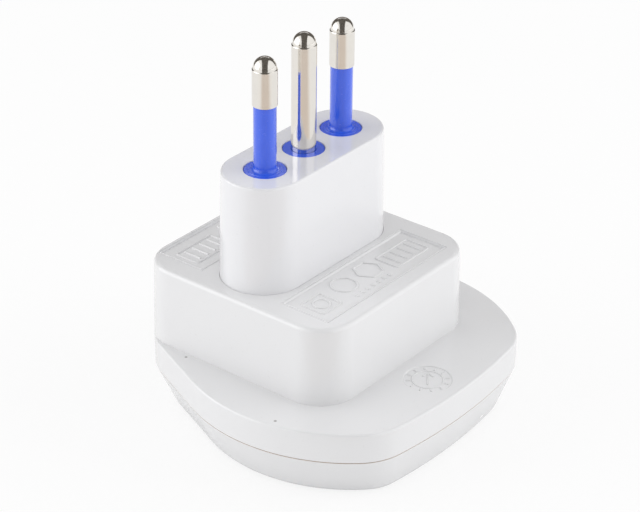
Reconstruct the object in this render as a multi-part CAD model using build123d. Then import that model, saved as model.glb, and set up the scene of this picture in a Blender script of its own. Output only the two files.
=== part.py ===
from build123d import *
import math
import os

os.makedirs("parts", exist_ok=True)

# All sizes are in millimetres. The origin is on the socket face, below the middle
# of the base. X runs along the row of plug pins and Z points towards their tips.

# Three round plug pins in one row
pin_pitch = 9.5
pin_radius = 2.0
pin_reach = 19.0
earth_pin_extra = 0.8
pin_root_radius = 2.2
pin_waist_radius = 1.5
pin_tail_radius = 1.3
pin_flange_radius = 2.6
pin_flange_height = 1.0
pin_head_radius = 1.7
pin_head_height = 0.6
bore_clearance = 0.05

# Blue sleeves and collars
sleeve_radius = 1.82
sleeve_reach = 11.0
sleeve_root_radius = 2.35
sleeve_root_height = 0.6
collar_radius = 3.365
collar_height = 1.2
collar_clearance = 0.05
collar_sunk = 0.1

# Plan of the base: a round middle, a shallow front arc and sides that taper to the back
base_side_radius = 27.7
base_front_radius = 45.0
base_front_cut = 3.5
base_back_extra = 0.7
base_corner_radius = 10.0
base_back_corner_radius = 10.0
base_back_corner_x = 11.2

# Heights above the socket face
seam_height = 7.5
flange_height = 5.05
plinth_height = 13.5
nose_height = 18.35

# Shell
shell_wall = 2.0
cover_floor = 2.2
socket_face_inset = 3.4
cover_edge_chamfer = 0.8
flange_edge_chamfer = 0.35
seam_groove_depth = 0.5
seam_groove_height = 0.2
tongue_height = 1.2
tongue_root = 0.5
tongue_clearance = 0.1
guide_wall = 1.2
joint_overlap = 0.2

# Square plinth
plinth_half_x = 19.5
plinth_half_y = 19.6
plinth_corner_radius = 6.5
plinth_draft = 1.06
plinth_edge_chamfer = 0.4
plinth_wall = 1.8
plinth_roof = 2.0
plinth_back_set = 0.3
plinth_joint_inset = 0.2

# Long nose with round ends
nose_half_length = 16.85
nose_half_width = 7.0
nose_draft = 0.94
nose_edge_chamfer = 0.3
nose_wall = 2.0
nose_roof = 2.75
nose_clearance = 0.1
nose_foot_height = 1.2
nose_foot_lip = 1.8
nose_foot_half_length = 13.0
nose_pocket_width = 2.4
nose_pocket_length = 8.0
nose_window_width = 6.4
nose_window_from_row = 3.3
nose_window_length = 10.9

# Place of the pin row behind the middle of the plinth
row_from_plinth = 1.0

# Sunken panels on the plinth
panel_half_length = 15.0
panel_near = 8.5
panel_far = 17.0
panel_depth = 0.3
relief_height = 0.15
relief_line = 0.35

# Moulded date dial on the flange
dial_radius = 3.9
dial_depth = 0.12
dial_from_row = 26.3
dial_x = -1.2
dial_ring_radius = 2.6
dial_ticks = 12

# Rectangular socket slots
live_pin_width = 6.35
flat_pin_thickness = 3.97
earth_blade_length = 7.92
live_spacing = 22.2
earth_from_live = 22.2
live_from_plinth_wall = 4.8
live_blade_depth = 17.7
earth_blade_depth = 22.7
slot_clearance = 0.42
slot_chamfer = 0.6

# Contacts behind the slots
sheet = 0.6
spring_sheet = 0.4
contact_opening = 4.3
contact_width = 6.0
earth_contact_width = 7.6
blade_margin = 0.5
fold_radius = 0.54
bar_half_width = 2.3
bar_rise_from_row = 4.4
spring_height = 4.0
spring_lift = 3.0

# Inner carrier
carrier_floor_z = 4.5
carrier_floor = 2.0
carrier_wall = 0.8
carrier_from_plinth = 2.4
carrier_margin = 0.4
carrier_hole_margin = 0.3
spring_clearance = 0.1
live_tube_top = 16.0
earth_tube_top = 20.5

# Screw that closes the shell
screw_behind_live = 2.0
screw_radius = 1.45
screw_head_radius = 2.75
screw_head_height = 1.6
screw_head_sunk = 0.7
screw_tip_z = 16.0
screw_boss_radius = 3.0
screw_point = 1.5
screw_seat_wall = 1.6
screw_hole_clearance = 0.25
cross_width = 0.8
cross_span = 3.2
cross_depth = 0.9

# Derived places
base_front_reach = base_side_radius - base_front_cut
base_back_reach = base_side_radius + base_back_extra
side_centre_y = (base_front_reach - base_back_reach) / 2
back_y = side_centre_y + base_back_reach
plinth_y = back_y - plinth_back_set - plinth_half_y
row_y = plinth_y + row_from_plinth
flange_top = seam_height + flange_height
plinth_top = flange_top + plinth_height
nose_top = plinth_top + nose_height
live_y = plinth_y - plinth_half_y + plinth_wall + live_from_plinth_wall
earth_y = live_y + earth_from_live
live_x = live_spacing / 2
screw_y = live_y + screw_behind_live
carrier_top = carrier_floor_z + carrier_floor
cover_slope = socket_face_inset / seam_height
cover_taper = math.degrees(math.atan(cover_slope))
roof_underside = plinth_top - plinth_roof
bar_z = plinth_top - 0.3
boss_z = bar_z + sheet


def at(x, y, z):
    """A place given by its three coordinates."""
    return Location((x, y, z))


def block(x0, x1, y0, y1, z0, z1):
    """A box between two corners."""
    shape = Box(x1 - x0, y1 - y0, z1 - z0, align=(Align.MIN, Align.MIN, Align.MIN))
    return at(x0, y0, z0) * shape


def prism(face, z0, z1):
    """A flat outline raised from one height to another."""
    return at(0, 0, z0) * extrude(face, amount=z1 - z0)


def turned(points):
    """A solid of revolution about Z from radius and height pairs."""
    outline = Polyline(*[(r, 0, z) for r, z in points], close=True)
    return revolve(make_face(outline), axis=Axis.Z)


def both_sides(shape):
    """A shape and its mirror image across the middle plane."""
    return shape + mirror(shape, about=Plane.YZ)


def edges_at(shape, z):
    """The edges that lie flat at one height."""
    return shape.edges().filter_by_position(Axis.Z, z - 0.01, z + 0.01)


# Outline of the base
def on_circle(centre, radius, towards):
    """The point of a circle that lies in one direction from its centre."""
    length = math.hypot(*towards)
    return centre[0] + radius * towards[0] / length, centre[1] + radius * towards[1] / length


def arc(centre, radius, start, end):
    """A short arc of a circle between two directions."""
    middle = (start[0] + end[0], start[1] + end[1])
    points = [on_circle(centre, radius, towards) for towards in (start, middle, end)]
    return ThreePointArc(*points)


def unit(vector):
    """A direction of length one."""
    return on_circle((0, 0), 1, vector)


def base_outline(inset):
    """The plan of the base, moved inwards by one distance all round."""
    side = (0, side_centre_y)
    front = (0, side_centre_y - base_front_reach + base_front_radius)
    rise = front[1] - side[1]
    to_side = base_side_radius - base_corner_radius
    to_front = base_front_radius - base_corner_radius
    down = (to_side**2 - to_front**2 + rise**2) / (2 * rise)
    corner = (math.sqrt(to_side**2 - down**2), side_centre_y + down)
    back = (base_back_corner_x, back_y - base_back_corner_radius)
    apart = (back[0] - side[0], back[1] - side[1])
    step = (base_side_radius - base_back_corner_radius) / math.hypot(*apart)
    lean = math.atan2(apart[1], apart[0]) - math.acos(step)
    outward = (math.cos(lean), math.sin(lean))
    from_side = unit((corner[0] - side[0], corner[1] - side[1]))
    from_front = unit((corner[0] - front[0], corner[1] - front[1]))
    back_arc = arc(back, base_back_corner_radius - inset, (0, 1), outward)
    side_arc = arc(side, base_side_radius - inset, outward, from_side)
    corner_arc = arc(corner, base_corner_radius - inset, from_side, from_front)
    front_arc = arc(front, base_front_radius - inset, from_front, (0, -1))
    straight = Line(back_arc @ 1, side_arc @ 0)
    back_line = Line((0, back_y - inset), back_arc @ 0)
    half = Wire([back_line, back_arc, straight, side_arc, corner_arc, front_arc])
    other = mirror(half, about=Plane.YZ)
    return make_face(half.edges() + other.edges())


def stadium(extra):
    """The plan of the nose at its foot, grown by one distance."""
    length = 2 * (nose_half_length + extra)
    width = 2 * (nose_half_width + extra)
    return Pos(0, row_y) * SlotOverall(length, width)


def plinth_plan(inset):
    """The plan of the plinth at its foot, moved inwards by one distance."""
    width = 2 * (plinth_half_x - inset)
    depth = 2 * (plinth_half_y - inset)
    plan = RectangleRounded(width, depth, plinth_corner_radius - inset)
    return Pos(0, plinth_y) * plan


def slot_mouths(z0, z1, extra):
    """The three socket slots as solids, wider by one distance all round."""
    wide = live_pin_width / 2 + extra
    thin = flat_pin_thickness / 2 + extra
    long = earth_blade_length / 2 + extra
    live = block(live_x - wide, live_x + wide, live_y - thin, live_y + thin, z0, z1)
    earth = block(-thin, thin, earth_y - long, earth_y + long, z0, z1)
    return both_sides(live) + earth


# Lower shell with the socket face
downward = Plane(origin=(0, 0, seam_height), x_dir=(-1, 0, 0), z_dir=(0, 0, -1))
cover = extrude(downward * base_outline(0), amount=seam_height, taper=cover_taper)
cover = chamfer(edges_at(cover, 0), cover_edge_chamfer)
hollow_height = seam_height - cover_floor
cover -= extrude(downward * base_outline(shell_wall), amount=hollow_height, taper=cover_taper)
groove = base_outline(-1) - base_outline(seam_groove_depth)
cover -= prism(groove, seam_height - seam_groove_height, seam_height)
tongue = base_outline(shell_wall / 2 + tongue_clearance) - base_outline(shell_wall)
cover += prism(tongue, seam_height - tongue_root, seam_height + tongue_height)
guide_foot = cover_floor - joint_overlap
cover += slot_mouths(guide_foot, carrier_floor_z, slot_clearance + guide_wall)
screw_post = Pos(0, screw_y) * Circle(screw_head_radius + screw_seat_wall)
cover += prism(screw_post, guide_foot, carrier_floor_z)

# Slots, their funnel mouths and the screw hole
cover -= slot_mouths(-1, carrier_floor_z + 1, slot_clearance)
mouth = slot_mouths(0, slot_chamfer, slot_clearance)
for solid in mouth.solids():
    foot = solid.faces().sort_by(Axis.Z)[0]
    wide_foot = offset(foot, amount=slot_chamfer, kind=Kind.INTERSECTION)
    top = solid.faces().sort_by(Axis.Z)[-1]
    cover -= loft([wide_foot, top])
head_seat = screw_head_sunk + screw_head_height
head_hole = Pos(0, screw_y) * Circle(screw_head_radius + screw_hole_clearance)
cover -= prism(head_hole, -1, head_seat)
screw_hole = Pos(0, screw_y) * Circle(screw_radius + screw_hole_clearance)
cover -= prism(screw_hole, -1, carrier_floor_z + 1)

# Upper shell: flange and plinth
flange = prism(base_outline(0), seam_height, flange_top)
flange = chamfer(edges_at(flange, flange_top), flange_edge_chamfer)
plinth = extrude(at(0, 0, flange_top) * plinth_plan(0), amount=plinth_height, taper=plinth_draft)
plinth = chamfer(edges_at(plinth, plinth_top), plinth_edge_chamfer)
plinth += prism(plinth_plan(plinth_joint_inset), flange_top - shell_wall, flange_top)
housing = flange + plinth
housing -= prism(base_outline(shell_wall), seam_height - 1, flange_top - shell_wall)
inner_height = roof_underside - seam_height
inner_plan = at(0, 0, seam_height) * plinth_plan(plinth_wall)
plinth_hollow = extrude(inner_plan, amount=inner_height, taper=plinth_draft)
flange_wall = base_outline(-base_corner_radius) - base_outline(shell_wall)
plinth_hollow -= prism(flange_wall, seam_height - 1, flange_top - shell_wall)
housing -= plinth_hollow
rebate = base_outline(shell_wall / 2) - base_outline(shell_wall + tongue_root)
housing -= prism(rebate, seam_height - 1, seam_height + tongue_height + tongue_clearance)

# Post for the screw, and the opening for the nose
post = Pos(0, screw_y) * Circle(screw_boss_radius)
housing += prism(post, carrier_top, roof_underside + joint_overlap)
screw_bore = Pos(0, screw_y) * Circle(screw_radius + bore_clearance)
housing -= prism(screw_bore, carrier_top - 1, screw_tip_z + 1)
housing -= prism(stadium(nose_clearance), roof_underside - 1, plinth_top + 1)

# Sunken panels with plain raised figures
panel_width = panel_far - panel_near
panel_middle = (panel_far + panel_near) / 2
for side in (-1, 1):
    panel = Pos(0, row_y + side * panel_middle) * Rectangle(2 * panel_half_length, panel_width)
    housing -= prism(panel, plinth_top - panel_depth, plinth_top + 1)


def stroke(length, angle):
    """A thin straight line."""
    return Rot(0, 0, angle) * Rectangle(length, relief_line)


def frame_of(plan):
    """The thin outline of a closed figure."""
    return plan - offset(plan, amount=-relief_line, kind=Kind.INTERSECTION)


figures = Sketch()
figures += Pos(-11.2, 0) * frame_of(Rectangle(4.8, 4.8))
figures += Pos(-11.2, 0) * frame_of(RegularPolygon(1.6, 8))
figures += Pos(-4.4, 0.9) * frame_of(RegularPolygon(2.4, 10))
figures += Pos(1.8, 0.9) * frame_of(RegularPolygon(2.6, 6))
figures += Pos(9.6, 0) * frame_of(Rectangle(8.6, 4.8))
for step in range(4):
    figures += Pos(6.9 + 1.8 * step, 0) * stroke(3.4, 90)
for step in range(7):
    figures += Pos(-5.8 + 1.4 * step, -2.7) * stroke(0.9, 90)
for side, turn in ((-1, 0), (1, 180)):
    place = at(0, row_y + side * panel_middle, plinth_top - panel_depth - 0.02)
    housing += place * Rot(0, 0, turn) * extrude(figures, amount=relief_height + 0.02)

# Date dial moulded into the flange
dial_place = at(dial_x, row_y - dial_from_row, flange_top - dial_depth)
housing -= dial_place * extrude(Circle(dial_radius), amount=1)
dial = frame_of(RegularPolygon(dial_ring_radius, dial_ticks))
for step in range(dial_ticks):
    tick = Pos((dial_ring_radius + dial_radius) / 2, 0) * Rectangle(0.6, 0.28)
    dial += Rot(0, 0, (step + 0.5) * 360 / dial_ticks) * tick
dial += Rot(0, 0, 35) * (Rectangle(3.2, 0.4) + Pos(1.2, 0) * RegularPolygon(0.8, 3))
housing += at(0, 0, -0.02) * dial_place * extrude(dial, amount=dial_depth + 0.02)

# Nose
nose_base = at(0, 0, plinth_top) * stadium(0)
nose = extrude(nose_base, amount=nose_height, taper=nose_draft)
nose = chamfer(edges_at(nose, nose_top), nose_edge_chamfer)
nose_foot_z = roof_underside - nose_foot_height
nose += prism(stadium(0), nose_foot_z, plinth_top)
foot = stadium(nose_foot_lip)
foot &= Pos(0, row_y) * Rectangle(2 * nose_foot_half_length, 40)
nose += prism(foot, nose_foot_z, roof_underside)
nose -= prism(stadium(-nose_wall), nose_foot_z - 1, boss_z)
for side in (-1, 1):
    pocket = Pos(side * pin_pitch / 2, row_y) * Rectangle(nose_pocket_width, nose_pocket_length)
    nose -= prism(pocket, boss_z - 1, nose_top - nose_roof)
window_y = row_y + nose_window_from_row
half_window = nose_window_width / 2
window = block(-half_window, half_window, window_y, window_y + nose_window_length, 0, roof_underside)
nose -= window - prism(stadium(-nose_wall), 0, roof_underside)
for step in (-1, 0, 1):
    x = step * pin_pitch
    nose -= at(x, row_y, boss_z - 1) * Cylinder(
        pin_root_radius + bore_clearance, nose_height + 5, align=(Align.CENTER, Align.CENTER, Align.MIN)
    )
    nose -= prism(Pos(x, row_y) * Circle(pin_flange_radius + 0.1), boss_z - 1, boss_z + pin_flange_height)
    nose -= prism(Pos(x, row_y) * Circle(collar_radius + collar_clearance), nose_top - collar_height, nose_top + 1)


# Plug pins
def pin_profile(tip_z, sleeved):
    """Half outline of a pin from its riveted tail to the start of its domed tip."""
    tail_z = bar_z - pin_head_height
    points = [
        (0, tail_z),
        (pin_head_radius, tail_z),
        (pin_head_radius, bar_z),
        (pin_tail_radius, bar_z),
        (pin_tail_radius, boss_z),
        (pin_flange_radius, boss_z),
        (pin_flange_radius, boss_z + pin_flange_height),
        (pin_root_radius, boss_z + pin_flange_height),
    ]
    if sleeved:
        points += [
            (pin_root_radius, nose_top - collar_height),
            (pin_waist_radius, nose_top - collar_height),
            (pin_waist_radius, nose_top + sleeve_reach),
            (pin_radius, nose_top + sleeve_reach),
        ]
    else:
        points += [
            (pin_root_radius, nose_top - collar_sunk),
            (pin_radius, nose_top - collar_sunk),
        ]
    dome_z = tip_z - pin_radius
    for angle in (0, 20, 40, 60):
        turn = math.radians(angle)
        points.append((pin_radius * math.cos(turn), dome_z + pin_radius * math.sin(turn)))
    return points


def plug_pin(x, reach, sleeved):
    """A turned pin with a domed tip, standing in its boss."""
    tip_z = nose_top + reach
    corners = [(r, 0, z) for r, z in pin_profile(tip_z, sleeved)]
    sides = Polyline(*corners)
    turn = math.radians(75)
    middle = (pin_radius * math.cos(turn), 0, tip_z - pin_radius * (1 - math.sin(turn)))
    tip = ThreePointArc(corners[-1], middle, (0, 0, tip_z))
    axis_line = Line((0, 0, tip_z), corners[0])
    half = make_face(sides.edges() + [tip.edge(), axis_line.edge()])
    return at(x, row_y, 0) * revolve(half, axis=Axis.Z)


# Sleeve and collar in one blue moulding
def sleeve(x):
    """A collar set in the nose with a sleeve round the pin's waist."""
    inner = pin_waist_radius + bore_clearance
    root_z = nose_top + sleeve_root_height
    shape = turned([
        (inner, nose_top - collar_height),
        (collar_radius, nose_top - collar_height),
        (collar_radius, nose_top - collar_sunk),
        (sleeve_root_radius + 0.35, nose_top - collar_sunk),
        (sleeve_root_radius + 0.35, nose_top + 0.12),
        (sleeve_root_radius, nose_top + 0.12),
        (sleeve_radius, root_z),
        (sleeve_radius, nose_top + sleeve_reach),
        (inner, nose_top + sleeve_reach),
    ])
    return at(x, row_y, 0) * shape


earth_collar = at(0, row_y, 0) * turned([
    (pin_root_radius + bore_clearance, nose_top - collar_height),
    (collar_radius, nose_top - collar_height),
    (collar_radius, nose_top - collar_sunk),
    (pin_root_radius + bore_clearance, nose_top - collar_sunk),
])

# Clips that grip the flat pins
gap = contact_opening / 2
bridge_z = live_blade_depth + blade_margin


def live_contact():
    """Two leaves joined by a bridge beyond the end of the flat pin."""
    x0, x1 = live_x - contact_width / 2, live_x + contact_width / 2
    clip = block(x0, x1, live_y - gap - sheet, live_y + gap + sheet, carrier_top, bridge_z + sheet)
    clip -= block(x0, x1, live_y - gap, live_y + gap, carrier_top - 1, bridge_z)
    folds = clip.edges().filter_by(Axis.X).sort_by(Axis.Z)[-2:]
    return fillet(folds, fold_radius)


def live_bar():
    """A strap from the bridge of the clip up to the tail of the pin."""
    top = bridge_z + sheet
    roof = bar_z + sheet
    rise_y = row_y - bar_rise_from_row
    inner_x = pin_pitch - bar_half_width
    outer_x = pin_pitch + bar_half_width
    far_x = live_x + bar_half_width
    low = block(live_x - bar_half_width, far_x, live_y - bar_half_width, rise_y + sheet, top, top + sheet)
    rise = block(inner_x, outer_x, rise_y, rise_y + sheet, top, roof)
    high = block(inner_x, outer_x, rise_y, row_y + bar_half_width, bar_z, roof)
    strap = low + rise + high
    hole = Pos(pin_pitch, row_y) * Circle(pin_tail_radius + bore_clearance)
    return strap - prism(hole, bar_z - 1, bar_z + 2)


web_y = earth_y - earth_blade_length / 2 - 0.24
earth_clip_top = earth_tube_top - 0.5


def earth_contact_shape():
    """Two leaves folded from one web, with a tab that runs up into the nose."""
    y0, y1 = web_y - sheet, earth_y + earth_contact_width / 2
    clip = block(-gap - sheet, gap + sheet, y0, y1, carrier_top, earth_clip_top)
    clip -= block(-gap, gap, web_y, y1 + 1, carrier_top - 1, earth_clip_top + 1)
    folds = clip.edges().filter_by(Axis.Z).sort_by(Axis.Y)[0:2]
    clip = fillet(folds, fold_radius)
    return clip + block(-1.6, 1.6, y0, web_y, earth_clip_top - 1, bar_z)


def earth_bar_shape():
    """A short strap from the tab to the tail of the earth pin."""
    strap = block(-bar_half_width, bar_half_width, row_y - bar_half_width, web_y, bar_z, bar_z + sheet)
    hole = Pos(0, row_y) * Circle(pin_tail_radius + bore_clearance)
    return strap - prism(hole, bar_z - 1, bar_z + 2)


# Steel springs round the leaves
def spring_round(half_x, half_y, z0):
    """An open band of spring steel, its web towards +X."""
    outer = block(-half_x, half_x + spring_sheet, -half_y - spring_sheet, half_y + spring_sheet, 0, spring_height)
    inner = block(-half_x - 1, half_x, -half_y, half_y, -1, spring_height + 1)
    band = outer - inner
    corners = band.edges().filter_by(Axis.Z).sort_by(Axis.X)[-2:]
    return at(0, 0, z0) * fillet(corners, spring_sheet * 0.8)


spring_z = carrier_top + spring_lift
leaf_face = gap + sheet
live_web = live_pin_width / 2 + 0.1
live_spring = at(live_x, live_y, 0) * spring_round(live_web, leaf_face, spring_z)
earth_web = earth_blade_length / 2 + 0.2
earth_spring = at(0, earth_y, 0) * Rot(0, 0, 90) * spring_round(earth_web, leaf_face, spring_z)

# Insulating carrier with a chimney round each contact
carrier_inset = shell_wall + (seam_height - carrier_floor_z) * cover_slope + carrier_margin
carrier_plan = plinth_plan(carrier_from_plinth) & base_outline(carrier_inset)
carrier = prism(carrier_plan, carrier_floor_z, carrier_top)
chimney_gap = leaf_face + spring_sheet + spring_clearance
live_inner_x = live_web + spring_sheet + spring_clearance
earth_inner_y = earth_blade_length / 2 + 0.24 + sheet + 0.1


def chimney(x, y, half_x, half_y, top):
    """The outside and the inside of a rectangular tube round one contact."""
    width = 2 * (half_x + carrier_wall)
    depth = 2 * (half_y + carrier_wall)
    outer = Pos(x, y) * RectangleRounded(width, depth, carrier_wall + 0.2)
    inner = Pos(x, y) * Rectangle(2 * half_x, 2 * half_y)
    return prism(outer, carrier_top - 0.5, top), prism(inner, carrier_top, top + 1)


live_outer, live_inner = chimney(live_x, live_y, live_inner_x, chimney_gap, live_tube_top)
earth_outer, earth_inner = chimney(0, earth_y, chimney_gap, earth_inner_y, earth_tube_top)
carrier += both_sides(live_outer) + earth_outer
carrier -= both_sides(live_inner) + earth_inner
carrier -= slot_mouths(carrier_floor_z - 1, carrier_top + 1, carrier_hole_margin)
carrier -= prism(screw_hole, carrier_floor_z - 1, carrier_top + 1)

# Screw with a cross recess
screw = turned([
    (0, screw_head_sunk),
    (screw_head_radius - 0.3, screw_head_sunk),
    (screw_head_radius, screw_head_sunk + 0.3),
    (screw_head_radius, head_seat),
    (screw_radius, head_seat),
    (screw_radius, screw_tip_z - screw_point),
    (0, screw_tip_z),
])
cross = Rectangle(cross_span, cross_width) + Rectangle(cross_width, cross_span)
screw -= at(0, 0, screw_head_sunk - 0.1) * extrude(cross, amount=cross_depth + 0.1)
screw = at(0, screw_y, 0) * screw

line_contact = live_contact()
line_bar = live_bar()
line_pin = plug_pin(pin_pitch, pin_reach, True)
pieces = {
    "socket_cover": cover,
    "upper_housing": housing,
    "plug_nose": nose,
    "contact_carrier": carrier,
    "line_pin": line_pin,
    "neutral_pin": plug_pin(-pin_pitch, pin_reach, True),
    "earth_pin": plug_pin(0, pin_reach + earth_pin_extra, False),
    "line_sleeve": sleeve(pin_pitch),
    "neutral_sleeve": sleeve(-pin_pitch),
    "earth_collar": earth_collar,
    "line_contact": line_contact,
    "neutral_contact": mirror(line_contact, about=Plane.YZ),
    "earth_contact": earth_contact_shape(),
    "line_spring": live_spring,
    "neutral_spring": mirror(live_spring, about=Plane.YZ),
    "earth_spring": earth_spring,
    "line_bar": line_bar,
    "neutral_bar": mirror(line_bar, about=Plane.YZ),
    "earth_bar": earth_bar_shape(),
    "cover_screw": screw,
}

for name, piece in pieces.items():
    export_step(piece, f"parts/{name}.step")
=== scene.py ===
import math

import bmesh
import bpy
from mathutils import Euler, Matrix, Vector


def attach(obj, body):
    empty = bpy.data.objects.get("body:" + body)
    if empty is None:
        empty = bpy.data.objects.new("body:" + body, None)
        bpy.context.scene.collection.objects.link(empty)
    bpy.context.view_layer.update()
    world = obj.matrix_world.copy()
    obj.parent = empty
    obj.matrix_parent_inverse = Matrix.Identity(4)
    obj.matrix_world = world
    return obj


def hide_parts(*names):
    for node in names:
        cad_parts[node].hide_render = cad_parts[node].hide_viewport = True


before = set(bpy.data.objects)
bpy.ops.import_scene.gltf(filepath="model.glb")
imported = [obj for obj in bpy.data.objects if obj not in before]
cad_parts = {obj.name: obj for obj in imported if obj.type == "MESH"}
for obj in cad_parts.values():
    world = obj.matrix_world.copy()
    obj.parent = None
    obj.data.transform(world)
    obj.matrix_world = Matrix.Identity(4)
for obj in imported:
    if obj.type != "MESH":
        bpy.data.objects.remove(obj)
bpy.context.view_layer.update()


# Camera: the photograph looks down on the pins from the corner between the front arc of
# the base and its left side. Its place was worked out from the pins, nose and plinth.
mm = 0.001
photo_width = 640.0
lens_in_pixels = 2374.4
shift_in_pixels = (17.0, -24.8)
looks_down, turned_left, rolled = 28.62, 51.31, 0.38
camera_reach = 380.6
aim = Vector((0.0, 7.4, 29.4)) * mm
camera_data = bpy.data.cameras.new("photo_camera")
camera_data.sensor_width = 36.0
camera_data.lens = lens_in_pixels * 36.0 / photo_width
camera_data.shift_x = shift_in_pixels[0] / photo_width
camera_data.shift_y = shift_in_pixels[1] / photo_width
camera_data.clip_start = 0.01
camera_data.clip_end = 50.0
camera = bpy.data.objects.new("photo_camera", camera_data)
bpy.context.scene.collection.objects.link(camera)
camera_turn = Euler((math.radians(90 - looks_down), 0.0, math.radians(-turned_left))).to_matrix()
camera_turn = camera_turn @ Matrix.Rotation(math.radians(rolled), 3, "Z")
camera_place = aim + camera_turn @ Vector((0, 0, camera_reach * mm))
camera.matrix_world = Matrix.Translation(camera_place) @ camera_turn.to_4x4()
bpy.context.scene.camera = camera
bpy.context.scene.view_settings.view_transform = "Standard"


# Lower cover: the tapered half of the shell that carries the socket face, one white moulding
# with three slots, guide walls behind them, and a tongue and a fine groove at its rim. The
# groove shows as the seam line. The front is flatter and leans less than the solid's.
def circle_part(centre, radius, start, end, steps):
    """Points along a round part of an outline, its angles in radians."""
    return [
        (centre[0] + radius * math.cos(start + (end - start) * i / steps),
         centre[1] + radius * math.sin(start + (end - start) * i / steps))
        for i in range(steps + 1)
    ]


side_radius = 27.7
side_centre_y = -2.1
front_radius = 95.0
front_centre_y = side_centre_y - 22.8 + front_radius
front_upright = 0.25
corner_radius = 10.0
back_centre = (11.2, 16.3)


def base_plan(inset, lean_share=0.0):
    """The base outline, moved inwards; the front arc leaves out some of the share that is lean."""
    side = side_radius - inset
    front = front_radius - inset + front_upright * lean_share
    corner = corner_radius - inset
    rise = front_centre_y - side_centre_y
    reach_side, reach_front = side - corner, front - corner
    corner_y = (reach_side**2 - reach_front**2 + rise**2) / (2 * rise)
    corner_x = math.sqrt(reach_side**2 - corner_y**2)
    low = math.atan2(corner_y, corner_x)
    turn = math.atan2(corner_y - rise, corner_x)
    across, up = back_centre[0], back_centre[1] - side_centre_y
    narrowing = math.acos((side_radius - corner_radius) / math.hypot(across, up))
    high = math.atan2(up, across) - narrowing
    right = circle_part(back_centre, corner, math.pi / 2, high, 24)
    right += circle_part((0, side_centre_y), side, high, low, 72)
    right += circle_part((corner_x, side_centre_y + corner_y), corner, low, turn, 14)[1:]
    right += circle_part((0, front_centre_y), front, turn, -math.pi / 2, 28)[1:]
    left = [(-x, y) for x, y in reversed(right[:-1])]
    return right + left


def placed(name, data):
    """A new object in the scene that holds this mesh."""
    piece = bpy.data.objects.new(name, data)
    bpy.context.scene.collection.objects.link(piece)
    return piece


def solid(name, mesh):
    """A new piece from closed faces, which are made to point outwards."""
    bmesh.ops.recalc_face_normals(mesh, faces=mesh.faces)
    data = bpy.data.meshes.new(name)
    mesh.to_mesh(data)
    mesh.free()
    return placed(name, data)


def skin(name, rings, ring_shaped=False):
    """A closed solid from level outlines of equal count, each with its height in millimetres."""
    mesh = bmesh.new()
    levels = [[mesh.verts.new((x * mm, y * mm, z * mm)) for x, y in plan] for plan, z in rings]
    count = len(levels[0])
    for lower, upper in zip(levels, levels[1:] + (levels[:1] if ring_shaped else [])):
        for i in range(count):
            j = (i + 1) % count
            mesh.faces.new((lower[i], lower[j], upper[j], upper[i]))
    if not ring_shaped:
        mesh.faces.new(levels[0])
        mesh.faces.new(levels[-1])
    return solid(name, mesh)


def prism(name, plan, low, high):
    """An upright solid of one outline."""
    return skin(name, [(plan, low), (plan, high)])


def box_plan(x0, x1, y0, y1):
    """A rectangle as an outline."""
    return [(x0, y0), (x1, y0), (x1, y1), (x0, y1)]


def round_plan(x, y, radius, steps=64):
    """A circle as an outline."""
    return circle_part((x, y), radius, 0, 2 * math.pi, steps)[:-1]


def settle(piece):
    """Turns a piece's live modifiers into a plain mesh."""
    graph = bpy.context.evaluated_depsgraph_get()
    data = bpy.data.meshes.new_from_object(piece.evaluated_get(graph))
    piece.modifiers.clear()
    piece.data = data


def combine(piece, tools, operation):
    """Joins or cuts a piece with each tool, and takes the tools away."""
    for tool in tools:
        step = piece.modifiers.new(operation, "BOOLEAN")
        step.operation = operation
        step.solver = "EXACT"
        step.object = tool
        settle(piece)
        bpy.data.objects.remove(tool)


def flat_areas(mesh):
    """For each face, the whole area of the flat region that it belongs to."""
    areas = {}
    for first in mesh.faces:
        if first in areas:
            continue
        region, open_faces = {first}, [first]
        while open_faces:
            face = open_faces.pop()
            for edge in face.edges:
                for other in edge.link_faces:
                    if other not in region and other.normal.dot(first.normal) > 0.99999:
                        region.add(other)
                        open_faces.append(other)
        total = sum(face.calc_area() for face in region)
        areas.update({face: total for face in region})
    return areas


def faces_round(corner, limit):
    """The faces at one corner of a face that join it without a sharp edge between them."""
    around, open_faces = {corner.face}, [corner.face]
    while open_faces:
        near = open_faces.pop()
        for edge in near.edges:
            if corner.vert in edge.verts:
                for other in edge.link_faces:
                    if other not in around and other.normal.dot(near.normal) > limit:
                        around.add(other)
                        open_faces.append(other)
    return around


def finish_faces(piece, crease=35.0):
    """Smooth shading in which larger flat faces win, and which stays sharp at real edges."""
    mesh = bmesh.new()
    mesh.from_mesh(piece.data)
    bmesh.ops.remove_doubles(mesh, verts=mesh.verts, dist=1e-7)
    bmesh.ops.dissolve_degenerate(mesh, edges=mesh.edges, dist=1e-7)
    bmesh.ops.triangulate(mesh, faces=[f for f in mesh.faces if len(f.verts) > 4])
    mesh.normal_update()
    areas = flat_areas(mesh)
    limit = math.cos(math.radians(crease))
    normals = []
    for face in mesh.faces:
        face.smooth = True
        for corner in face.loops:
            total = Vector((0, 0, 0))
            for near in faces_round(corner, limit):
                total += near.normal * areas[near] ** 2 * 1e12
            normals.append(total.normalized())
    mesh.to_mesh(piece.data)
    mesh.free()
    piece.data.normals_split_custom_set(normals)


def clad(piece, finish):
    """Gives a piece its one finish."""
    piece.data.materials.clear()
    piece.data.materials.append(finish)


seam_z = 7.5
rim_wall = 2.0
lean_in = 3.4 / seam_z
floor_z = 2.2
bottom_round, bottom_steps = 1.3, 8
lean = math.atan(lean_in)
round_inset = (seam_z - bottom_round) * lean_in + bottom_round / math.cos(lean)


def lean_at(z):
    """How far the leaning wall stands in at a height."""
    return (seam_z - z) * lean_in


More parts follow.
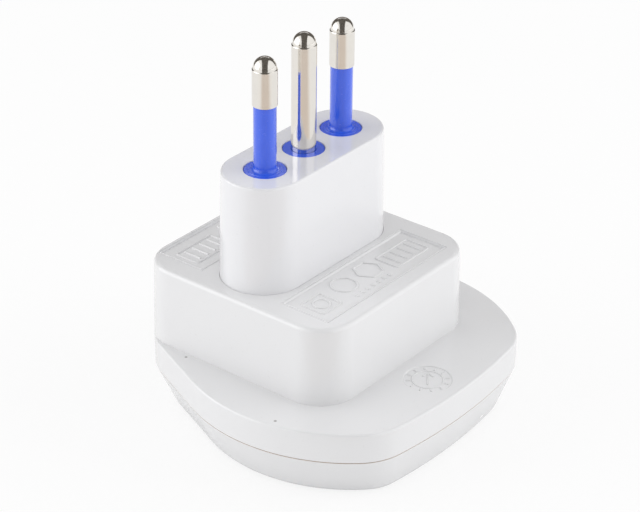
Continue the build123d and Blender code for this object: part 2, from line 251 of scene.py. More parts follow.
cover_rings = []
for step in range(bottom_steps + 1):
    angle = math.pi / 2 - (math.pi / 2 - lean) * step / bottom_steps
    inset = round_inset - bottom_round * math.cos(angle)
    height = bottom_round - bottom_round * math.sin(angle)
    cover_rings.append((base_plan(inset, lean_at(height)), height))
groove_z = seam_z - 0.14
lip = 0.05
groove_low, groove_high = 0.5, 0.3
tongue_inset, tongue_top = 1.1, seam_z + 1.2
cover_rings += [
    (base_plan(lean_at(groove_z - lip)), groove_z - lip),
    (base_plan(lean_at(groove_z) + 0.04), groove_z),
    (base_plan(groove_low), groove_z),
    (base_plan(groove_high), seam_z),
    (base_plan(tongue_inset), seam_z),
    (base_plan(tongue_inset), tongue_top),
    (base_plan(rim_wall), tongue_top),
    (base_plan(rim_wall), seam_z),
    (base_plan(rim_wall + lean_at(floor_z), lean_at(floor_z)), floor_z),
]
cover = skin("cover_shell", cover_rings)

live_x, live_y, earth_y = 11.1, -6.6, 15.6
live_half = (3.595, 2.405)
earth_half = (2.405, 4.38)
slots = [(live_x, live_y, live_half), (-live_x, live_y, live_half), (0.0, earth_y, earth_half)]


def slot_plan(slot, grow):
    """The outline of one slot, grown all round."""
    x, y, (half_x, half_y) = slot
    return box_plan(x - half_x - grow, x + half_x + grow, y - half_y - grow, y + half_y + grow)


guide_wall, guide_low, guide_top = 1.2, 2.0, 4.5
screw_y, post_radius, head_bore, shank_bore = -4.6, 4.35, 3.05, 1.7
guides = [prism("guide", slot_plan(slot, guide_wall), guide_low, guide_top) for slot in slots]
guides.append(prism("post", round_plan(0, screw_y, post_radius), guide_low, guide_top))
combine(cover, guides, "UNION")
mouth_flare, mouth_depth, cut_top = 0.75, 0.6, 5.5
mouths = [
    skin("mouth", [
        (slot_plan(slot, mouth_flare), -0.15), (slot_plan(slot, 0.0), mouth_depth),
        (slot_plan(slot, 0.0), cut_top),
    ])
    for slot in slots
]
head_seat_z = 2.3
mouths.append(skin("head_seat", [
    (round_plan(0, screw_y, head_bore + 0.3), -0.3), (round_plan(0, screw_y, head_bore), 0.15),
    (round_plan(0, screw_y, head_bore), head_seat_z),
    (round_plan(0, screw_y, shank_bore), head_seat_z),
    (round_plan(0, screw_y, shank_bore), cut_top),
]))
combine(cover, mouths, "DIFFERENCE")
finish_faces(cover)


class Wire:
    """A value, colour or vector on its way through a node tree, which can be used in sums."""

    def __init__(self, nodes, socket):
        self.nodes = nodes
        self.socket = socket

    def sum(self, operation, first, second):
        return self.nodes.add("ShaderNodeMath", {"operation": operation}, {0: first, 1: second})[0]

    def __add__(self, other):
        return self.sum("ADD", self, other)

    def __sub__(self, other):
        return self.sum("SUBTRACT", self, other)

    def __rsub__(self, other):
        return self.sum("SUBTRACT", other, self)

    def __mul__(self, other):
        return self.sum("MULTIPLY", self, other)

    __radd__ = __add__
    __rmul__ = __mul__


class Nodes:
    """A node tree that is filled node by node."""

    def __init__(self, tree):
        self.tree = tree
        self.tree.nodes.clear()

    def add(self, kind, settings=None, sockets=None):
        """A node of one type: its settings first, then the values or links of its sockets."""
        node = self.tree.nodes.new(kind)
        for key, value in (settings or {}).items():
            setattr(node, key, value)
        for key, value in (sockets or {}).items():
            if isinstance(value, Wire):
                self.tree.links.new(value.socket, node.inputs[key])
            else:
                node.inputs[key].default_value = value
        return {
            **{i: Wire(self, s) for i, s in enumerate(node.outputs)},
            **{s.name: Wire(self, s) for s in node.outputs if s.enabled},
        }


class Paint(Nodes):
    """One finish and the nodes that make it."""

    def __init__(self, name):
        self.material = bpy.data.materials.new(name)
        self.material.use_nodes = True
        super().__init__(self.material.node_tree)
        self.place = self.add("ShaderNodeTexCoord")["Object"]

    def noise(self, scale, detail, rough=0.5):
        """Cloudy variation, its scale in features across one metre."""
        sockets = {"Vector": self.place, "Scale": scale, "Detail": detail, "Roughness": rough}
        return self.add("ShaderNodeTexNoise", {}, sockets)["Fac"]

    def stretched(self, across, up, detail):
        """Cloudy variation with one scale across the object and another up it."""
        split = self.add("ShaderNodeSeparateXYZ", {}, {"Vector": self.place})
        sockets = {"X": split["X"] * across, "Y": split["Y"] * across, "Z": split["Z"] * up}
        way = self.add("ShaderNodeCombineXYZ", {}, sockets)["Vector"]
        sockets = {"Vector": way, "Scale": 1.0, "Detail": detail}
        return self.add("ShaderNodeTexNoise", {}, sockets)["Fac"]

    def spread(self, value, low, high):
        """A value carried smoothly from one range to nought and one."""
        settings = {"interpolation_type": "SMOOTHSTEP"}
        sockets = {"Value": value, "From Min": low, "From Max": high}
        return self.add("ShaderNodeMapRange", settings, sockets)["Result"]

    def blend(self, factor, first, second):
        """One colour over another."""
        sockets = {0: factor, 6: first, 7: second}
        return self.add("ShaderNodeMix", {"data_type": "RGBA"}, sockets)[2]

    def dot(self, where, radius):
        """A small round mark at one place on the object, in millimetres."""
        sockets = {0: self.place, 1: tuple(v * mm for v in where)}
        apart = self.add("ShaderNodeVectorMath", {"operation": "DISTANCE"}, sockets)["Value"]
        return self.spread(apart, radius * mm, radius * 0.5 * mm)

    def bump(self, height, strength, distance):
        """Small relief that only the light sees."""
        sockets = {"Height": height, "Strength": strength, "Distance": distance}
        return self.add("ShaderNodeBump", {}, sockets)["Normal"]

    def surface(self, **sockets):
        """The shader that ends the material."""
        named = {key.replace("_", " "): value for key, value in sockets.items()}
        shader = self.add("ShaderNodeBsdfPrincipled", {}, named)["BSDF"]
        self.add("ShaderNodeOutputMaterial", {}, {"Surface": shader})
        return self.material


def white_plastic(name, tone, gloss, fine, marks=()):
    """Glossy white moulding: faint flow, fine texture, uneven gloss and a tan band of painted shade
    in the seam groove.
    """
    paint = Paint(name)
    flow = paint.noise(55.0, 2.0)
    grain = paint.noise(9000.0, 2.0, 0.6)
    speck = paint.spread(paint.noise(2600.0, 1.0), 0.72, 0.78)
    handled = paint.noise(120.0, 4.0, 0.65)
    height = paint.add("ShaderNodeSeparateXYZ", {}, {"Vector": paint.place})["Z"]
    above_groove = paint.spread(height, (seam_z - 0.18) * mm, (seam_z - 0.13) * mm)
    below_flange = paint.spread(height, (seam_z + 0.05) * mm, seam_z * mm)
    shade = tuple(c * 0.97 for c in tone[:3]) + (1.0,)
    colour = paint.blend(flow, tone, shade)
    colour = paint.blend(speck * 0.15, colour, (0.52, 0.5, 0.47, 1.0))
    # Painted shade: the band between the two heights masked above lies inside the seam groove and is
    # blended towards tan to darken the seam line.
    colour = paint.blend(above_groove * below_flange * 0.8, colour, (0.74, 0.61, 0.49, 1.0))
    for where, radius in marks:
        colour = paint.blend(paint.dot(where, radius) * 0.7, colour, (0.2, 0.18, 0.17, 1.0))
    ripple = paint.noise(160.0, 2.0)
    return paint.surface(
        Base_Color=colour,
        Roughness=gloss + handled * 0.1,
        IOR=1.5,
        Coat_Weight=0.7,
        Coat_IOR=1.5,
        Coat_Roughness=0.08,
        Normal=paint.bump(ripple + grain * fine, 0.12, 0.0002),
    )


specks = [((-20.4, 14.8, 12.55), 0.3), ((-25.7, -8.0, 12.55), 0.32), ((-11.75, -24.8, 12.55), 0.28)]
shell_white = white_plastic("shell_white", (0.80, 0.80, 0.81, 1.0), 0.2, 0.03, specks)
clad(cover, shell_white)
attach(cover, "root")
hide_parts("socket_cover")


# Upper housing: the flange and the square plinth in one hollow white moulding. The plinth
# leans in a little to leave the mould, its roof has two sunken panels and the opening for
# the nose, and a date dial is moulded into the flange.
flange_z = 12.55
plinth_z = 26.05
row_y = 7.4
plinth_y = 6.4
plinth_half = (19.5, 19.6)
plinth_corner = 6.5
plinth_lean = math.tan(math.radians(1.06))
plinth_wall, roof_z = 1.8, plinth_z - 2.0


def round_box_plan(x, y, half_x, half_y, radius, steps=16):
    """A rectangle with round corners as an outline."""
    plan = []
    corners = [(1, 1, 0.0), (-1, 1, 0.5), (-1, -1, 1.0), (1, -1, 1.5)]
    for side_x, side_y, turn in corners:
        centre = (x + side_x * (half_x - radius), y + side_y * (half_y - radius))
        plan += circle_part(centre, radius, turn * math.pi, (turn + 0.5) * math.pi, steps)
    return plan


def plinth_plan(inset):
    """The plan of the plinth, moved inwards."""
    half_x, half_y = plinth_half[0] - inset, plinth_half[1] - inset
    return round_box_plan(0, plinth_y, half_x, half_y, plinth_corner - inset)


def edge_round(radius, steps=6):
    """Inset and drop pairs that round over a square top edge."""
    turns = [math.pi / 2 * i / steps for i in range(steps + 1)]
    return [(radius - radius * math.cos(t), radius - radius * math.sin(t)) for t in turns]


rebate_inset, rebate_top = 1.0, seam_z + 1.3
flange_low, flange_round, plinth_round = flange_z - 2.0, 0.4, 0.7
flange_rings = [
    (base_plan(rim_wall), flange_low), (base_plan(rim_wall), rebate_top),
    (base_plan(rebate_inset), rebate_top), (base_plan(rebate_inset), seam_z),
    (base_plan(0.05), seam_z), (base_plan(0.0), seam_z + 0.05),
]
flange_rings += [(base_plan(inset), flange_z - drop) for inset, drop in edge_round(flange_round)]
housing = skin("housing_shell", flange_rings)
plinth_rings = [(plinth_plan(0.0), flange_low), (plinth_plan(0.0), flange_z)]
plinth_rings += [
    (plinth_plan((plinth_z - flange_z - drop) * plinth_lean + inset), plinth_z - drop)
    for inset, drop in edge_round(plinth_round)
]
combine(housing, [skin("plinth", plinth_rings)], "UNION")
hollow = skin("hollow", [
    (plinth_plan(plinth_wall), 6.0),
    (plinth_plan(plinth_wall + (roof_z - seam_z) * plinth_lean), roof_z),
])
combine(housing, [hollow], "DIFFERENCE")

nose_half_length, nose_half_width = 16.85, 7.0


def nose_plan(inset):
    """The plan of the nose, a long shape with round ends, moved inwards."""
    radius = nose_half_width - inset
    middle = nose_half_length - nose_half_width
    right = circle_part((middle, row_y), radius, -math.pi / 2, math.pi / 2, 48)
    left = circle_part((-middle, row_y), radius, math.pi / 2, 1.5 * math.pi, 48)
    return right + left


nose_gap, edge_break = 0.03, 0.15
opening = skin("opening", [
    (nose_plan(-nose_gap), roof_z - 1), (nose_plan(-nose_gap), plinth_z - 0.06),
    (nose_plan(-nose_gap - edge_break), plinth_z - 0.06 + edge_break),
])
panel_half, panel_near, panel_far, panel_depth = 15.0, 8.5, 17.0, 0.3
panel_slope, panel_rim = 0.04, 0.16
groove_section = [(0.22, 0.3), (0.22, 0.0), (0.3, -0.16), (0.42, -0.16), (0.5, 0.0), (0.5, 0.3)]
panels = []
for side in (-1, 1):
    ends = sorted((row_y + side * panel_near, row_y + side * panel_far))
    panel_rings = [
        (-panel_slope, -panel_depth), (0.0, -panel_rim), (1.0, 1.0 - panel_rim),
    ]
    for name, section, ring_shaped in (
        ("panel", panel_rings, False), ("panel_groove", groove_section, True),
    ):
        panels.append(skin(name, [
            (
                box_plan(-panel_half - out, panel_half + out, ends[0] - out, ends[1] + out),
                plinth_z + rise,
            )
            for out, rise in section
        ], ring_shaped))
dial_x, dial_y, dial_radius, dial_depth = -1.2, row_y - 26.3, 3.9, 0.12
dial_seat = skin("dial_seat", [
    (round_plan(dial_x, dial_y, dial_radius - 0.1), flange_z - dial_depth),
    (round_plan(dial_x, dial_y, dial_radius), flange_z - 0.02),
    (round_plan(dial_x, dial_y, dial_radius + 0.3), flange_z + 0.2),
])
combine(housing, [opening, *panels, dial_seat], "DIFFERENCE")
finish_faces(housing)
clad(housing, shell_white)
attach(housing, "root")
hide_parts("upper_housing")


# Raised figures: thin round lines that the mould leaves standing in the two panels and on
# the dial. They are plain shapes, swept along their paths, and part of the same plastic.
def raised_line_tree():
    """Sweeps a round line along every path that it is given."""
    tree = bpy.data.node_groups.new("raised_lines", "GeometryNodeTree")
    tree.is_modifier = True
    tree.interface.new_socket("Paths", in_out="INPUT", socket_type="NodeSocketGeometry")
    kinds = {
        "Line width": "NodeSocketFloat", "Corner": "NodeSocketFloat", "Finish": "NodeSocketMaterial",
    }
    names = {
        label: tree.interface.new_socket(label, in_out="INPUT", socket_type=kind).identifier
        for label, kind in kinds.items()
    }
    tree.interface.new_socket("Relief", in_out="OUTPUT", socket_type="NodeSocketGeometry")
    nodes = Nodes(tree)
    given = nodes.add("NodeGroupInput")
    path = nodes.add("GeometryNodeMeshToCurve", {}, {"Mesh": given["Paths"]})["Curve"]
    rounded = nodes.add("GeometryNodeFilletCurve", {"mode": "POLY"}, {
        "Curve": path, "Radius": given["Corner"], "Count": 3, "Limit Radius": True,
    })["Curve"]
    section = nodes.add("GeometryNodeCurvePrimitiveCircle", {}, {
        "Resolution": 10, "Radius": given["Line width"] * 0.5,
    })["Curve"]
    line = nodes.add("GeometryNodeCurveToMesh", {}, {
        "Curve": rounded, "Profile Curve": section, "Fill Caps": True,
    })["Mesh"]
    whole = nodes.add("GeometryNodeRealizeInstances", {}, {"Geometry": line})["Geometry"]
    coated = nodes.add("GeometryNodeSetMaterial", {}, {
        "Geometry": whole, "Material": given["Finish"],
    })["Geometry"]
    nodes.add("NodeGroupOutput", {}, {"Relief": coated})
    return tree, names


relief_tree, relief_inputs = raised_line_tree()


def raised_lines(name, paths, width, corner):
    """Round lines along paths; each is a list of places in millimetres and whether it closes."""
    points, edges = [], []
    for places, closed in paths:
        first = len(points)
        points += [(x * mm, y * mm, z * mm) for x, y, z in places]
        last = len(points) - 1
        edges += [(i, i + 1) for i in range(first, last)]
        if closed:
            edges.append((last, first))
    data = bpy.data.meshes.new(name)
    data.from_pydata(points, edges, [])
    lines = placed(name, data)
    sweep = lines.modifiers.new("raised_lines", "NODES")
    sweep.node_group = relief_tree
    sweep[relief_inputs["Line width"]] = width * mm
    sweep[relief_inputs["Corner"]] = corner * mm
    sweep[relief_inputs["Finish"]] = shell_white
    settle(lines)
    finish_faces(lines, 50.0)
    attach(lines, "root")


def ring_path(x, y, radius, steps=32):
    """A closed path in a panel, round or with a few equal sides."""
    return round_plan(x, y, radius, steps), True


def frame_path(x, y, half_x, half_y):
    """A closed rectangular path in a panel."""
    return box_plan(x - half_x, x + half_x, y - half_y, y + half_y), True


figure_paths = [
    frame_path(-11.2, 0, 2.25, 2.25), ring_path(-11.2, 0, 1.35), ring_path(-4.4, 0.9, 2.15),
    ring_path(1.8, 0.9, 2.45, 6), frame_path(9.6, 0, 4.15, 2.25),
]
bars, bar_x, bar_apart, bar_half = 4, 6.9, 1.8, 1.7
ticks, tick_x, tick_apart, tick_ends = 7, -5.8, 1.4, (-3.1, -2.3)
for i in range(bars):
    x = bar_x + bar_apart * i
    figure_paths.append(([(x, -bar_half), (x, bar_half)], False))
for i in range(ticks):
    figure_paths.append(([(tick_x + tick_apart * i, y) for y in tick_ends], False))
panel_middle = (panel_near + panel_far) / 2
line_z = plinth_z - panel_depth - 0.02
placed_paths = []
for side in (-1, 1):
    placed_paths += [
        ([(-side * x, row_y + side * (panel_middle - y), line_z) for x, y in places], closed)
        for places, closed in figure_paths
    ]
raised_lines("panel_figures", placed_paths, width=0.44, corner=0.3)

dial_z = flange_z - dial_depth - 0.02
dial_ring, dial_ticks, tick_reach, dial_turn = 2.5, 12, (2.85, 3.5), 35
dial_paths = [([(x, y, dial_z) for x, y in round_plan(dial_x, dial_y, dial_ring, 48)], True)]
for step in range(dial_ticks):
    angle = math.tau * (step + 0.5) / dial_ticks
    dial_paths.append(([
        (dial_x + r * math.cos(angle), dial_y + r * math.sin(angle), dial_z) for r in tick_reach
    ], False))
arrow = [[(-1.6, 0), (1.9, 0)], [(0.9, 0.8), (1.9, 0), (0.9, -0.8)]]
pointing = Matrix.Rotation(math.radians(dial_turn), 2)
for stroke in arrow:
    turned_stroke = [pointing @ Vector(point) for point in stroke]
    dial_paths.append(([(dial_x + u, dial_y + v, dial_z) for u, v in turned_stroke], False))
raised_lines("dial_figures", dial_paths, width=0.32, corner=0.1)


# Nose: the long part with round ends that goes into the wall socket. It is a separate
# white moulding with a higher polish, pushed up through the roof of the plinth, and it
# holds the three pins in bosses.
nose_z = 44.4
nose_lean = math.tan(math.radians(0.94))
pin_pitch = 9.5
foot_z, shoulder_low, shoulder_top = 22.85, 26.35, 27.35
collar_depth, nose_round = 1.2, 0.35
nose_rings = [(nose_plan(0.0), foot_z), (nose_plan(0.0), plinth_z)]
nose_rings += [
    (nose_plan((nose_z - plinth_z - drop) * nose_lean + inset), nose_z - drop)
    for inset, drop in edge_round(nose_round)
]
nose = skin("nose_shell", nose_rings)
nose_wall, pocket_x, pocket_y, pocket_roof = 2.0, 1.2, 4.0, 2.75
cores = [prism("core", nose_plan(nose_wall), 20.0, shoulder_low)]
for x in (-pin_pitch / 2, pin_pitch / 2):
    pocket = box_plan(x - pocket_x, x + pocket_x, row_y - pocket_y, row_y + pocket_y)
    cores.append(prism("pocket", pocket, 25.0, nose_z - pocket_roof))
shoulder_bore, root_bore, collar_bore = 2.7, 2.25, 3.415
bore_section = [
    (shoulder_bore, 24.0), (shoulder_bore, shoulder_top), (root_bore, shoulder_top),
    (root_bore, nose_z - collar_depth), (collar_bore, nose_z - collar_depth),
    (collar_bore, nose_z - 0.08), (3.7, nose_z + 0.2),
]
bores = [
    skin("bore", [(round_plan(x, row_y, radius), z) for radius, z in bore_section])
    for x in (-pin_pitch, 0.0, pin_pitch)
]
combine(nose, [*cores, *bores], "DIFFERENCE")
finish_faces(nose)
nose_white = white_plastic("nose_white", (0.82, 0.82, 0.84, 1.0), 0.1, 0.012)
clad(nose, nose_white)
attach(nose, "root")
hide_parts("plug_nose")


# Plug pins: turned brass with a bright nickel plate, a domed tip and a fine turned line
# where the dome starts. The outer two are waisted to take the blue sleeve.
def turned(name, profile, x, y, steps=96):
    """A solid turned about an upright line, from radius and height pairs."""
    mesh = bmesh.new()
    rings = []
    for radius, z in profile:
        plan = [(x, y)] if radius < 1e-6 else round_plan(x, y, radius, steps)
        rings.append([mesh.verts.new((u * mm, v * mm, z * mm)) for u, v in plan])
    for lower, upper in zip(rings, rings[1:]):
        for i in range(steps):
            j = (i + 1) % steps
            sides = ((lower, i), (lower, j), (upper, j), (upper, i))
            corners = [ring[k % len(ring)] for ring, k in sides]
            mesh.faces.new(list(dict.fromkeys(corners)))
    if len(rings[0]) > 1 and profile[0] == profile[-1]:
        bmesh.ops.remove_doubles(mesh, verts=mesh.verts, dist=1e-7)
    return solid(name, mesh)


pin_radius, dome_radius, root_radius, waist_radius = 2.0, 1.85, 2.2, 1.5
tail_z, neck_z = 25.15, 25.75
neck_radius, tail_radius, shoulder_radius = 1.3, 1.7, 2.6
dome_steps = 18
sleeve_top = nose_z + 11.0


def pin_profile(tip_z, sleeved):
    """Radius and height pairs from the riveted tail to the domed tip."""
    profile = [
        (0, tail_z), (1.5, tail_z), (tail_radius, tail_z + 0.2), (tail_radius, neck_z),
        (neck_radius, neck_z), (neck_radius, shoulder_low), (shoulder_radius, shoulder_low),
        (shoulder_radius, shoulder_top), (root_radius, shoulder_top),
    ]
    if sleeved:
        profile += [
            (root_radius, nose_z - collar_depth), (waist_radius, nose_z - collar_depth),
            (waist_radius, sleeve_top), (1.93, sleeve_top), (1.985, sleeve_top + 0.03),
            (pin_radius, sleeve_top + 0.1),
        ]
    else:
        profile += [(root_radius, nose_z - 0.3), (pin_radius, nose_z - 0.3)]
    dome_z = tip_z - dome_radius
    turned_line = [(pin_radius, 0.24), (1.985, 0.18), (1.93, 0.12), (1.86, 0.07)]
    profile += [(radius, dome_z - drop) for radius, drop in turned_line]
    for step in range(dome_steps):
        angle = math.pi / 2 * step / dome_steps
        profile.append((dome_radius * math.cos(angle), dome_z + dome_radius * math.sin(angle)))
    return profile + [(0, tip_z)]


def nickel_plate():
    """Bright nickel over turned metal: turning lines, faint drawn streaks, a few handling marks."""
    paint = Paint("pin_nickel")
    streak = paint.stretched(3000.0, 60.0, 2.0)
    turned_lines = paint.stretched(40.0, 5000.0, 2.0)
    cloud = paint.noise(500.0, 4.0, 0.6)
    colour = paint.blend(cloud, (0.86, 0.83, 0.78, 1.0), (0.80, 0.77, 0.72, 1.0))
    marks = paint.spread(paint.noise(1400.0, 4.0, 0.7), 0.66, 0.74)
    return paint.surface(
        Base_Color=paint.blend(marks * 0.3, colour, (0.5, 0.46, 0.4, 1.0)),
        Metallic=1.0,
        Roughness=0.08 + streak * 0.08 + marks * 0.12,
        Normal=paint.bump(turned_lines + streak * 0.5, 0.05, 0.00005),
    )


pin_nickel = nickel_plate()
outer_reach, middle_reach = 19.0, 19.8
pins = {
    "line_pin": (pin_pitch, outer_reach),
    "neutral_pin": (-pin_pitch, outer_reach),
    "earth_pin": (0.0, middle_reach),
}
for node, (x, reach) in pins.items():
    pin = turned(node + "_metal", pin_profile(nose_z + reach, x != 0.0), x, row_y)
    finish_faces(pin, 40.0)
    clad(pin, pin_nickel)
    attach(pin, "root")
    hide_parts(node)


# Sleeves and collars: blue plastic moulded round the outer pins, each a thin sleeve that
# stands on a flat collar let into the nose. The middle pin has the collar alone.
collar_radius, collar_sunk, collar_edge = 3.365, 0.1, 0.08
collar_low, collar_top = nose_z - collar_depth, nose_z - collar_sunk
sleeve_bore, sleeve_radius = 1.55, 1.82
foot_flare = [
    (2.7, 0.0), (2.66, 0.07), (2.58, 0.1), (2.3, 0.1), (2.1, 0.17), (1.95, 0.3), (1.86, 0.5),
    (sleeve_radius, 0.8),
]
collar_rim = [
    (collar_radius, collar_low), (collar_radius, collar_top - collar_edge),
    (collar_radius - collar_edge, collar_top),
]
sleeve_profile = [(sleeve_bore, collar_low), *collar_rim]
sleeve_profile += [(radius, collar_top + rise) for radius, rise in foot_flare]
sleeve_profile += [
    (sleeve_radius, sleeve_top - 0.1), (1.76, sleeve_top), (sleeve_bore, sleeve_top),
    (sleeve_bore, collar_low),
]
root_clear, pin_clear, ledge_z = 2.22, 2.02, nose_z - 0.28
collar_profile = [
    (root_clear, collar_low), *collar_rim, (2.08, collar_top), (pin_clear, collar_top - 0.06),
    (pin_clear, ledge_z), (root_clear, ledge_z), (root_clear, collar_low),
]


def blue_plastic():
    """Satin blue moulding with faint flow lines and small scuffs."""
    paint = Paint("sleeve_blue")
    flow = paint.noise(300.0, 3.0)
    scuff = paint.spread(paint.noise(1800.0, 4.0, 0.7), 0.62, 0.72)
    colour = paint.blend(flow, (0.025, 0.1, 0.76, 1.0), (0.04, 0.13, 0.84, 1.0))
    return paint.surface(
        Base_Color=paint.blend(scuff * 0.2, colour, (0.1, 0.18, 0.8, 1.0)),
        Roughness=0.2 + flow * 0.08 + scuff * 0.15,
        IOR=1.5,
        Coat_Weight=1.0,
        Coat_Roughness=0.06,
        Normal=paint.bump(paint.noise(2200.0, 2.0), 0.25, 0.0001),
    )


sleeve_blue = blue_plastic()
blues = {
    "line_sleeve": (pin_pitch, sleeve_profile),
    "neutral_sleeve": (-pin_pitch, sleeve_profile),
    "earth_collar": (0.0, collar_profile),
}
for node, (x, profile) in blues.items():
    blue = turned(node + "_blue", profile, x, row_y)
    finish_faces(blue, 40.0)
    clad(blue, sleeve_blue)
    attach(blue, "root")
    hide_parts(node)


# Inside: brass clips and straps, steel springs, the insulating carrier and the closing
# screw. They keep the shape they have and only show through the slots and the screw hole.
def sheet_metal(name, bright, dark, rough):
    """Rolled sheet with drawn lines and faint tarnish."""
    paint = Paint(name)
    lines = paint.stretched(2500.0, 120.0, 3.0)
    tarnish = paint.spread(paint.noise(350.0, 5.0, 0.6), 0.4, 0.75)
    return paint.surface(
        Base_Color=paint.blend(tarnish, bright, dark),
        Metallic=1.0,
        Roughness=rough + lines * 0.15 + tarnish * 0.15,
        Normal=paint.bump(lines, 0.1, 0.00005),
    )


def matt_plastic():
    """Fine matt moulding with a sparked texture."""
    paint = Paint("carrier_grey")
    spark = paint.noise(5000.0, 3.0, 0.6)
    tone = paint.noise(90.0, 2.0)
    return paint.surface(
        Base_Color=paint.blend(tone, (0.66, 0.66, 0.64, 1.0), (0.60, 0.60, 0.58, 1.0)),
        Roughness=0.5 + spark * 0.15,
        Normal=paint.bump(spark, 0.2, 0.00005),
    )


contact_brass = sheet_metal("contact_brass", (0.80, 0.62, 0.28, 1.0), (0.55, 0.38, 0.16, 1.0), 0.2)
inner_finish = {
    "contact": contact_brass,
    "bar": contact_brass,
    "spring": sheet_metal("spring_steel", (0.62, 0.62, 0.62, 1.0), (0.42, 0.41, 0.40, 1.0), 0.25),
    "screw": sheet_metal("screw_steel", (0.70, 0.70, 0.71, 1.0), (0.50, 0.50, 0.50, 1.0), 0.22),
    "carrier": matt_plastic(),
}
for node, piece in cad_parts.items():
    finish = inner_finish.get(node.split("_")[-1])
    if finish:
        clad(piece, finish)


# Floor, backdrop and light: a white table that the camera sees as plain white with the
# object's shadow on it, and soft lamps at left and right. Dark, brown and pale cloths and a
# beige card stand where polished faces mirror them; the camera and the light miss them.
def stage_white():
    """White that the camera sees brighter, and that keeps the shadow of the object."""
    paint = Paint("stage_white")
    tone = paint.blend(paint.noise(6.0, 2.0), (0.92, 0.92, 0.92, 1.0), (0.94, 0.94, 0.94, 1.0))
    matt = paint.add("ShaderNodeBsdfPrincipled", {}, {"Base Color": tone, "Roughness": 0.9})["BSDF"]
    glow = {"Color": (1.0, 1.0, 1.0, 1.0), "Strength": 1.0}
    plain = paint.add("ShaderNodeEmission", {}, glow)["Emission"]
    seen = paint.add("ShaderNodeLightPath")["Is Camera Ray"]
    mixed = paint.add("ShaderNodeMixShader", {}, {0: seen * 0.8, 1: matt, 2: plain})[0]
    paint.add("ShaderNodeOutputMaterial", {}, {"Surface": mixed})
    return paint.material


def stage_cloth(name, light, dark):
    """Matt cloth with a slightly uneven tone."""
    paint = Paint(name)
    return paint.surface(Base_Color=paint.blend(paint.noise(8.0, 2.0), light, dark), Roughness=0.8)


def stage_piece(name, points, faces, finish, only_mirrored):
    """A part of the stage, which polished faces mirror and the camera may not see."""
    sheet = bpy.data.meshes.new(name)
    sheet.from_pydata(points, [], faces)
    sheet.materials.append(finish)
    holder = placed(name, sheet)
    if only_mirrored:
        holder.visible_camera = False
        holder.visible_diffuse = False
        holder.visible_shadow = False


table = box_plan(-3, 3, -3, 3)
table_z = -0.0001
stage_piece("table", [(x, y, table_z) for x, y in table], [(0, 1, 2, 3)], stage_white(), False)
backward = camera_turn @ Vector((0, 0, 1))
level = Vector((backward.x, backward.y, 0)).normalized()
sideways = Vector((-level.y, level.x, 0))
tips = Vector((0.0, row_y, 50.0)) * mm


def way_to(turn, rise):
    """The direction at a turn from the camera and a rise, in degrees."""
    turn, rise = math.radians(turn), math.radians(rise)
    flat = (level * math.cos(turn) + sideways * math.sin(turn)) * math.cos(rise)
    return flat + Vector((0, 0, math.sin(rise)))


def steps_between(ends, count):
    """Even steps from one number to another, both included."""
    return [ends[0] + (ends[1] - ends[0]) * i / count for i in range(count + 1)]


def hung_cloth(name, radius, turns, rises, finish):
    """Cloth hung round the tips of the pins, between two turns and two rises."""
    across, up = 24, 16
    points = [
        tips + way_to(turn, rise) * radius
        for rise in steps_between(rises, up) for turn in steps_between(turns, across)
    ]
    corners = [i * (across + 1) + j for i in range(up) for j in range(across)]
    faces = [(k, k + 1, k + across + 2, k + across + 1) for k in corners]
    stage_piece(name, points, faces, finish, True)


def arched_cloth(name, radius, half_width, rises, finish):
    """A strip of cloth that goes up in front of the camera side and over the top."""
    points = []
    steps = 32
    for rise in steps_between(rises, steps):
        middle = tips + way_to(0, rise) * radius
        points += [middle - sideways * half_width, middle + sideways * half_width]
    faces = [(i, i + 1, i + 3, i + 2) for i in range(0, 2 * steps, 2)]
    stage_piece(name, points, faces, finish, True)


dark_cloth = stage_cloth("dark_cloth", (0.09, 0.08, 0.07, 1.0), (0.12, 0.11, 0.095, 1.0))
brown_cloth = stage_cloth("brown_cloth", (0.11, 0.09, 0.08, 1.0), (0.15, 0.125, 0.11, 1.0))
pale_cloth = stage_cloth("pale_cloth", (0.84, 0.84, 0.85, 1.0), (0.88, 0.88, 0.89, 1.0))
room, behind, pale_rises = 0.45, (155, 205), (26.9, 36)
arched_cloth("arched_cloth", 0.17, 0.08, (-16, 120), dark_cloth)
hung_cloth("left_back_cloth", room, (-155, -120), (-5, 89), dark_cloth)
hung_cloth("right_back_cloth", room, (120, 155), (-5, 89), dark_cloth)
hung_cloth("high_back_cloth", room, behind, (pale_rises[1], 89), dark_cloth)
hung_cloth("pale_back_cloth", room, behind, pale_rises, pale_cloth)
hung_cloth("low_back_cloth", room, behind, (-5, pale_rises[0]), brown_cloth)


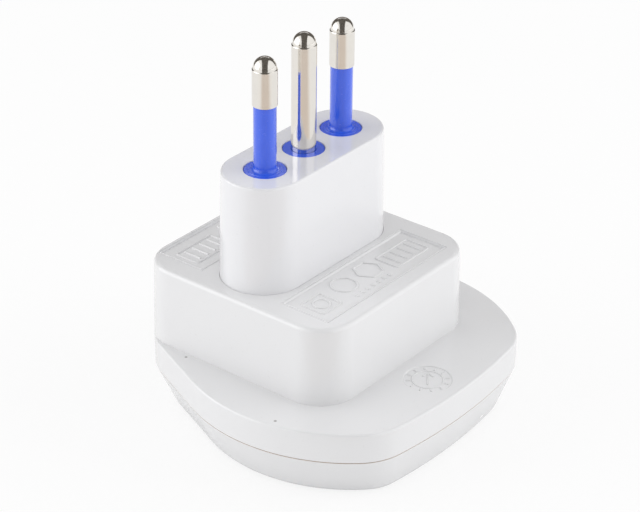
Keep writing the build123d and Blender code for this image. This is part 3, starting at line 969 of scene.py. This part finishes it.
def faded_card():
    """Card that is beige along its middle and fades to white at both sides."""
    paint = Paint("beige_card")
    sockets = {0: paint.place, 1: tuple(sideways)}
    off = paint.add("ShaderNodeVectorMath", {"operation": "DOT_PRODUCT"}, sockets)["Value"]
    apart = paint.add("ShaderNodeMath", {"operation": "ABSOLUTE"}, {0: off})[0]
    beige = paint.blend(paint.noise(30.0, 2.0), (0.71, 0.62, 0.55, 1.0), (0.77, 0.68, 0.61, 1.0))
    tone = paint.blend(paint.spread(apart, 0.045, 0.1), beige, (0.94, 0.93, 0.92, 1.0))
    return paint.surface(Base_Color=tone, Roughness=0.8)


card_half, card_z, card_reach = 0.12, 0.0008, (0.05, 0.15)
near, far = [Vector((0, row_y * mm, card_z)) + level * reach for reach in card_reach]
edge = sideways * card_half
card_corners = [near - edge, near + edge, far + edge, far - edge]
stage_piece("beige_card", card_corners, [(0, 1, 2, 3)], faded_card(), True)

world = bpy.data.worlds.new("studio")
world.use_nodes = True
bpy.context.scene.world = world
sky = Nodes(world.node_tree)
white = (1.0, 1.0, 1.0, 1.0)
lit = sky.add("ShaderNodeBackground", {}, {"Color": white, "Strength": 0.8})["Background"]
seen = sky.add("ShaderNodeBackground", {}, {"Color": white, "Strength": 1.0})["Background"]
ray = sky.add("ShaderNodeLightPath")
direct = {0: ray["Is Camera Ray"], 1: ray["Is Glossy Ray"]}
either = sky.add("ShaderNodeMath", {"operation": "MAXIMUM"}, direct)[0]
mixed_sky = sky.add("ShaderNodeMixShader", {}, {0: either, 1: lit, 2: seen})[0]
sky.add("ShaderNodeOutputWorld", {}, {"Surface": mixed_sky})


lamp_size, lamp_reach, lamp_rise = (0.6, 0.7), 0.65, 13


def soft_light(name, turn, power, mirrored):
    """A wide soft lamp that looks at the object, and that polished faces may mirror."""
    lamp = bpy.data.lights.new(name, "AREA")
    lamp.shape = "RECTANGLE"
    lamp.size, lamp.size_y = lamp_size
    lamp.energy = power
    holder = bpy.data.objects.new(name, lamp)
    holder.visible_glossy = mirrored
    holder.location = aim + way_to(turn, lamp_rise) * lamp_reach
    holder.rotation_euler = (aim - holder.location).to_track_quat("-Z", "Y").to_euler()
    bpy.context.scene.collection.objects.link(holder)


soft_light("left_light", -84, 1.95, True)
soft_light("right_light", 92, 2.1, False)
